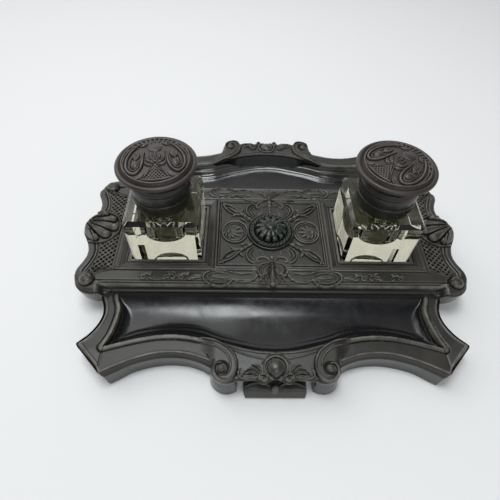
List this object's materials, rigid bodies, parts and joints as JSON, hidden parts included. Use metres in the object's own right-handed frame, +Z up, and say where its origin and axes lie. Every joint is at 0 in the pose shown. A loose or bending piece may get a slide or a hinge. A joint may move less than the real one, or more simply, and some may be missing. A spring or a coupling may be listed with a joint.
{
  "type": "desk inkstand",
  "caption": "Desk inkstand: moulded stand with pen trays front and back, square glass ink blocks with hinged round lids, and a lift-off stamp cover with a boss.",
  "frame": {"origin": "centre of the stand's footprint, on the table", "axes": "+X to the writer's right along the length, +Y to the back, +Z up"},
  "size_m": [0.281, 0.233, 0.0937],
  "materials": {
    "composition": "dark moulded composition, softly polished, glossy in the pen trays",
    "cap_composition": "dark brown moulded composition, satin",
    "collar_black": "black, glossy",
    "boss_bronze": "dark patinated bronze",
    "block_glass": "clear glass with a faint olive tint, cut bevels",
    "board_wood": "plain sawn board",
    "baize": "dark green baize",
    "socket_felt": "dark felt",
    "screw_brass": "brass",
    "pin_steel": "steel wire",
    "seal_rubber": "brown rubber"
  },
  "bodies": {
    "stand": {"stand_body": "composition", "bottom_board": "board_wood", "baize_pad": "baize", "board_screw_br": "screw_brass", "board_screw_fr": "screw_brass", "board_screw_bl": "screw_brass", "board_screw_fl": "screw_brass", "socket_pad_left": "socket_felt", "socket_pad_right": "socket_felt"},
    "cover": {"cover_panel": "composition", "cover_boss": "boss_bronze", "boss_stud": "screw_brass", "boss_nut": "screw_brass"},
    "well_left": {"glass_left": "block_glass", "collar_left": "collar_black", "hinge_pin_left": "pin_steel"},
    "well_right": {"glass_right": "block_glass", "collar_right": "collar_black", "hinge_pin_right": "pin_steel"},
    "lid_left": {"lid_mount_left": "collar_black", "lid_cap_left": "cap_composition", "lid_seal_left": "seal_rubber"},
    "lid_right": {"lid_mount_right": "collar_black", "lid_cap_right": "cap_composition", "lid_seal_right": "seal_rubber"}
  },
  "joints": [
    {"name": "cover_lift", "type": "slide", "parent": "stand", "child": "cover", "axis": [0, 0, 1], "range_m": [0, 0.04]},
    {"name": "well_left_lift", "type": "slide", "parent": "stand", "child": "well_left", "axis": [0, 0, 1], "range_m": [0, 0.05]},
    {"name": "well_right_lift", "type": "slide", "parent": "stand", "child": "well_right", "axis": [0, 0, 1], "range_m": [0, 0.05]},
    {"name": "lid_left_hinge", "type": "hinge", "parent": "well_left", "child": "lid_left", "pos_m": [-0.076, 0.0227, 0.068], "axis": [-1, 0, 0], "range_deg": [0, 105]},
    {"name": "lid_right_hinge", "type": "hinge", "parent": "well_right", "child": "lid_right", "pos_m": [0.076, 0.0227, 0.068], "axis": [-1, 0, 0], "range_deg": [0, 105]}
  ]
}
